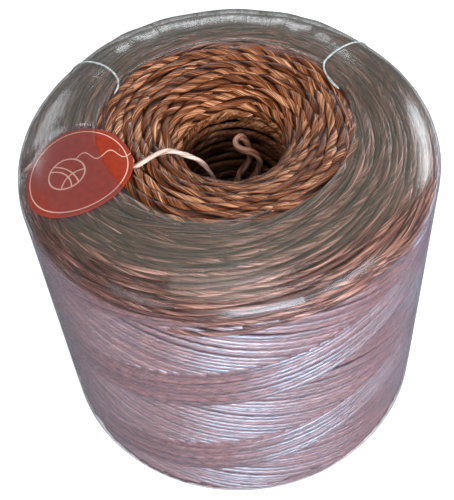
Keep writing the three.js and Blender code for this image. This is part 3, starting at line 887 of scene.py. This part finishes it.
# The film's look: how much of it is milky and where, with painted highlights as pale streak lines at its
# back and partly a painted reflection in the grey of its top, how its creases run, what it tints, how it
# mirrors.
# A range is what a value goes from and to, and what that gives.
filmLook = settings(
    creaseDetail=4.0, creaseRoughness=0.6, ringAround=5.0, ringDown=420.0, rayAround=26.0,
    rayDown=14.0, rayShare=1.3, cloudScale=28.0, ringHaze=(0.35, 0.75, 0.01, 0.07), waviness=0.016,
    frontShift=0.019, topMilk=0.21, labelMilk=-0.06, looseMilk=0.10, streaks=(0.47, 0.75, 0.0, 0.42),
    veilPower=5.0, veil=0.5, mostHaze=0.9, sideTint=(150, 148, 176), topTint=(134, 138, 122),
    labelTint=(128, 112, 122), streakTint=(198, 208, 206), creaseBump=0.6, creaseHeight=0.0002,
    milkRoughness=0.5, milkGloss=0.2, mirrorRoughness=0.18, bending=1.48, mostMirror=0.6,
    topFrom=0.004, topFull=-0.016, flatFull=-0.008)


def clearFilm(s):
    # A clear skin that is a little milky: part of it lets light straight through, part is a pale haze,
    # more where fine creases gather, and it mirrors its surroundings at a grazing angle. At the back,
    # where it is loose, pale radial streak lines in the haze are painted highlights. All of that is on
    # the side that faces out; the inner face of the thin skin only lets light through.
    material, tree = newMaterial("clearFilm")
    sideways, frontways, reach = (numberOf(tree, n) for n in ("sideways", "frontways", "reach"))
    overLabel, loosened = numberOf(tree, "overLabel"), numberOf(tree, "loosened")
    inner = addNode(tree, "ShaderNodeNewGeometry").outputs["Backfacing"]
    outerFace = calc(tree, "SUBTRACT", 1.0, inner)
    onTop = rangeOf(tree, reach, sideReach + s.topFrom, sideReach + s.topFull)

    def creaseNoise(around, down):
        spread = addNode(tree, "ShaderNodeCombineXYZ", {0: times(tree, sideways, around),
                                                        1: times(tree, frontways, around),
                                                        2: times(tree, reach, down)})
        return noiseOf(tree, spread.outputs[0], 1.0, s.creaseDetail, s.creaseRoughness)

    # Creases run round the roll on its side and outward on its top
    rings = creaseNoise(s.ringAround, s.ringDown)
    rays = creaseNoise(s.rayAround, s.rayDown)
    creases = times(tree, rings, calc(tree, "SUBTRACT", 1.0, onTop))
    creases = addTo(tree, rays, times(tree, onTop, s.rayShare), creases)
    cloud = noiseOf(tree, addNode(tree, "ShaderNodeTexCoord").outputs["Object"], s.cloudScale)
    # The flat of the top is greyer, partly from a milkier film and partly from a painted reflection; at
    # the front that ends before the rim, along a wavy line
    wavy = addTo(tree, frontways, s.frontShift, reach)
    wavy = addTo(tree, cloud, s.waviness, wavy)
    flatTop = rangeOf(tree, wavy, sideReach + s.topFrom, sideReach + s.flatFull)
    # How grey the flat of the top is: partly milk in the film, partly a painted reflection
    milky = addTo(tree, overLabel, s.labelMilk, s.topMilk)
    milky = addTo(tree, loosened, s.looseMilk, milky)
    haze = addTo(tree, flatTop, milky, rangeOf(tree, rings, *s.ringHaze))
    # Painted highlights: pale streak lines along the radial creases where the film is loose at the back
    streaks = times(tree, rangeOf(tree, rays, *s.streaks), loosened)
    facing = addNode(tree, "ShaderNodeLayerWeight", {"Blend": 0.5}).outputs["Facing"]
    veil = times(tree, calc(tree, "POWER", facing, s.veilPower), s.veil)
    haze = calc(tree, "ADD", calc(tree, "ADD", haze, streaks), veil)
    haze = times(tree, calc(tree, "MINIMUM", haze, s.mostHaze), outerFace)
    # The top's grey-green tint is partly a painted reflection
    tint = between(tree, onTop, fromSrgb(*s.sideTint), fromSrgb(*s.topTint))
    tint = between(tree, overLabel, tint, fromSrgb(*s.labelTint))
    tint = between(tree, streaks, tint, fromSrgb(*s.streakTint))
    bump = bumpOf(tree, creases, s.creaseBump, s.creaseHeight)
    through = addNode(tree, "ShaderNodeBsdfTransparent", {0: (1, 1, 1, 1)})
    milk = plainSkin(tree, {
        "Base Color": tint, "Roughness": s.milkRoughness, "Specular IOR Level": s.milkGloss,
        "Normal": bump})
    body = mixOf(tree, haze, through, milk)
    mirror = addNode(tree, "ShaderNodeBsdfGlossy", {"Roughness": s.mirrorRoughness, "Normal": bump})
    edge = addNode(tree, "ShaderNodeFresnel", {"IOR": s.bending, "Normal": bump}).outputs[0]
    edge = times(tree, calc(tree, "MINIMUM", edge, s.mostMirror), outerFace)
    edge = times(tree, edge, numberOf(tree, "awayFromEdge"))
    endWith(tree, mixOf(tree, edge, body, mirror))
    return material


makeFilm(filmSetup)


# The two welded seams are white ridges on the film: each is a line of azimuths, in degrees, at equal
# steps from the rim of the shoulder to the opening, and then a little way along it
seamSetup = settings(
    width=0.0016, height=0.0010, sides=8, plyLength=0.09, lobe=0.10, taper=0.004, steps=90,
    clearance=0.0002, evenOver=9, least=0.8, wave=0.1, waveCount=60, flapShare=0.5,
    flapZone=(0.75, 0.95), roughness=0.25, gloss=0.5, glow=0.0, grainScale=420.0, grainDetail=3.0,
    grainBump=0.4, grainHeight=0.0004,
    tones=[(0.3, 146, 154, 152), (0.7, 214, 220, 218)])
seamLines = settings(
    leftSeam=settings(degrees=(-129, -130.5, -132, -132, -131.5, -130, -127, -122.5, -117),
                      reach=(0.112, 0.104, 0.094, 0.083, 0.072, 0.062, 0.0545, 0.0505, 0.0498)),
    rightSeam=settings(degrees=(129, 129.3, 129.3, 129, 128.3, 127.3, 125.5, 120, 112, 106),
                       reach=(0.112, 0.104, 0.094, 0.083, 0.072, 0.062, 0.054, 0.0492, 0.0478, 0.0492)))


def makeSeams(s):
    # Each seam's places are spread evenly, evened out over a few neighbours, and lie on the film. The
    # right-hand one gets wider towards the opening.
    spot = np.linspace(0, 1, s.steps)
    material = grainyMaterial("weldedSeam", s)
    kernel = np.ones(s.evenOver) / s.evenOver
    for number, (name, line) in enumerate(seamLines.items()):
        knots = np.linspace(0, 1, len(line.degrees))
        azimuth, reach = (np.convolve(np.pad(along, s.evenOver // 2, "edge"), kernel, "valid")[None]
                          for along in (np.radians(np.interp(spot, knots, line.degrees)),
                                        np.interp(spot, knots, line.reach)))
        lift = filmSetup.gap + filmSetup.thickness + filmLift(reach, azimuth, filmSetup)[0]
        points, out = onRoll(reach, azimuth, -lift - s.clearance)
        flap = s.flapShare * smooth(*s.flapZone, spot) * number
        wider = flap + s.wave * np.sin(s.waveCount * spot)
        points, quads, _ = sweep(points, out, s.width * (s.least + wider)[None], s.height, s)
        finishPiece(addPiece(name, points, quads), material, "film")


makeSeams(seamSetup)


# The floor is a wide pale plane with a very faint mottle, and gives off a little light of its own
floorSetup = settings(
    halfSide=6, below=0.0003, roughness=0.8, gloss=0.1, glow=0.4, grainScale=9.0, grainDetail=2.0,
    grainBump=0.0, grainHeight=0.0, tones=[(0.2, 250, 250, 250), (0.8, 254, 254, 254)])


def makeFloor(s):
    corners = np.array([(-1, -1, 0), (1, -1, 0), (1, 1, 0), (-1, 1, 0)], float) * s.halfSide
    floor = addPiece("paleFloor", corners - np.array([0, 0, s.below]), np.array([[0, 1, 2, 3]]))
    floor.data.materials.append(grainyMaterial("palePaper", s))
    floor.visible_glossy = False  # the shiny twine mirrors the dimmer room, not the lit paper


makeFloor(floorSetup)
print("floor laid")


# Each light is a rectangle that faces the roll's middle. The windows and the sky only show as glints.
daylight = (0.88, 0.95, 1.0)
lightSetup = settings(
    key=settings(azimuth=10, elevation=22, distance=1.6, size=(0.9, 0.5), energy=25.5,
                 colour=(0.78, 0.88, 1.0)),
    leftFill=settings(azimuth=-48, elevation=24, size=(0.8, 0.5), energy=3, colour=(0.78, 0.88, 1.0)),
    rightFill=settings(azimuth=52, elevation=24, size=(0.8, 0.5), energy=10, colour=(0.86, 0.92, 1.0)),
    above=settings(azimuth=-10, elevation=68, size=(1.1, 1.1), energy=12, colour=(1.0, 0.95, 0.88)),
    window=settings(azimuth=122, elevation=16, size=(0.9, 0.5), energy=18, colour=daylight,
                    glintOnly=True),
    leftWindow=settings(azimuth=-140, elevation=18, size=(0.7, 0.5), energy=6, colour=daylight,
                        glintOnly=True),
    sky=settings(azimuth=178, elevation=20, size=(1.2, 0.4), energy=14, colour=(0.88, 0.96, 1.0),
                 glintOnly=True))
roomSetup = settings(middle=(0, 0, 0.15), distance=1.8, colour=(0.95, 0.97, 1.0), strength=0.25)


def makeLights(setup, room):
    for name, s in setup.items():
        data = bpy.data.lights.new(name, "AREA")
        data.shape = "RECTANGLE"
        data.size, data.size_y = s.size
        data.energy = s.energy
        data.color = s.colour
        lamp = bpy.data.objects.new(name, data)
        a, e = math.radians(s.azimuth), math.radians(s.elevation)
        back = Vector((math.sin(a) * math.cos(e), -math.cos(a) * math.cos(e), math.sin(e)))
        lamp.location = Vector(room.middle) + back * s.get("distance", room.distance)
        lamp.rotation_euler = back.to_track_quat("Z", "Y").to_euler()
        lamp.visible_diffuse = not s.get("glintOnly", False)
        scene.collection.objects.link(lamp)
    world = bpy.data.worlds.new("paleRoom")
    world.use_nodes = True
    background = world.node_tree.nodes["Background"]
    background.inputs[0].default_value = (*room.colour, 1)
    background.inputs[1].default_value = room.strength
    scene.world = world


makeLights(lightSetup, roomSetup)
print("lights placed")
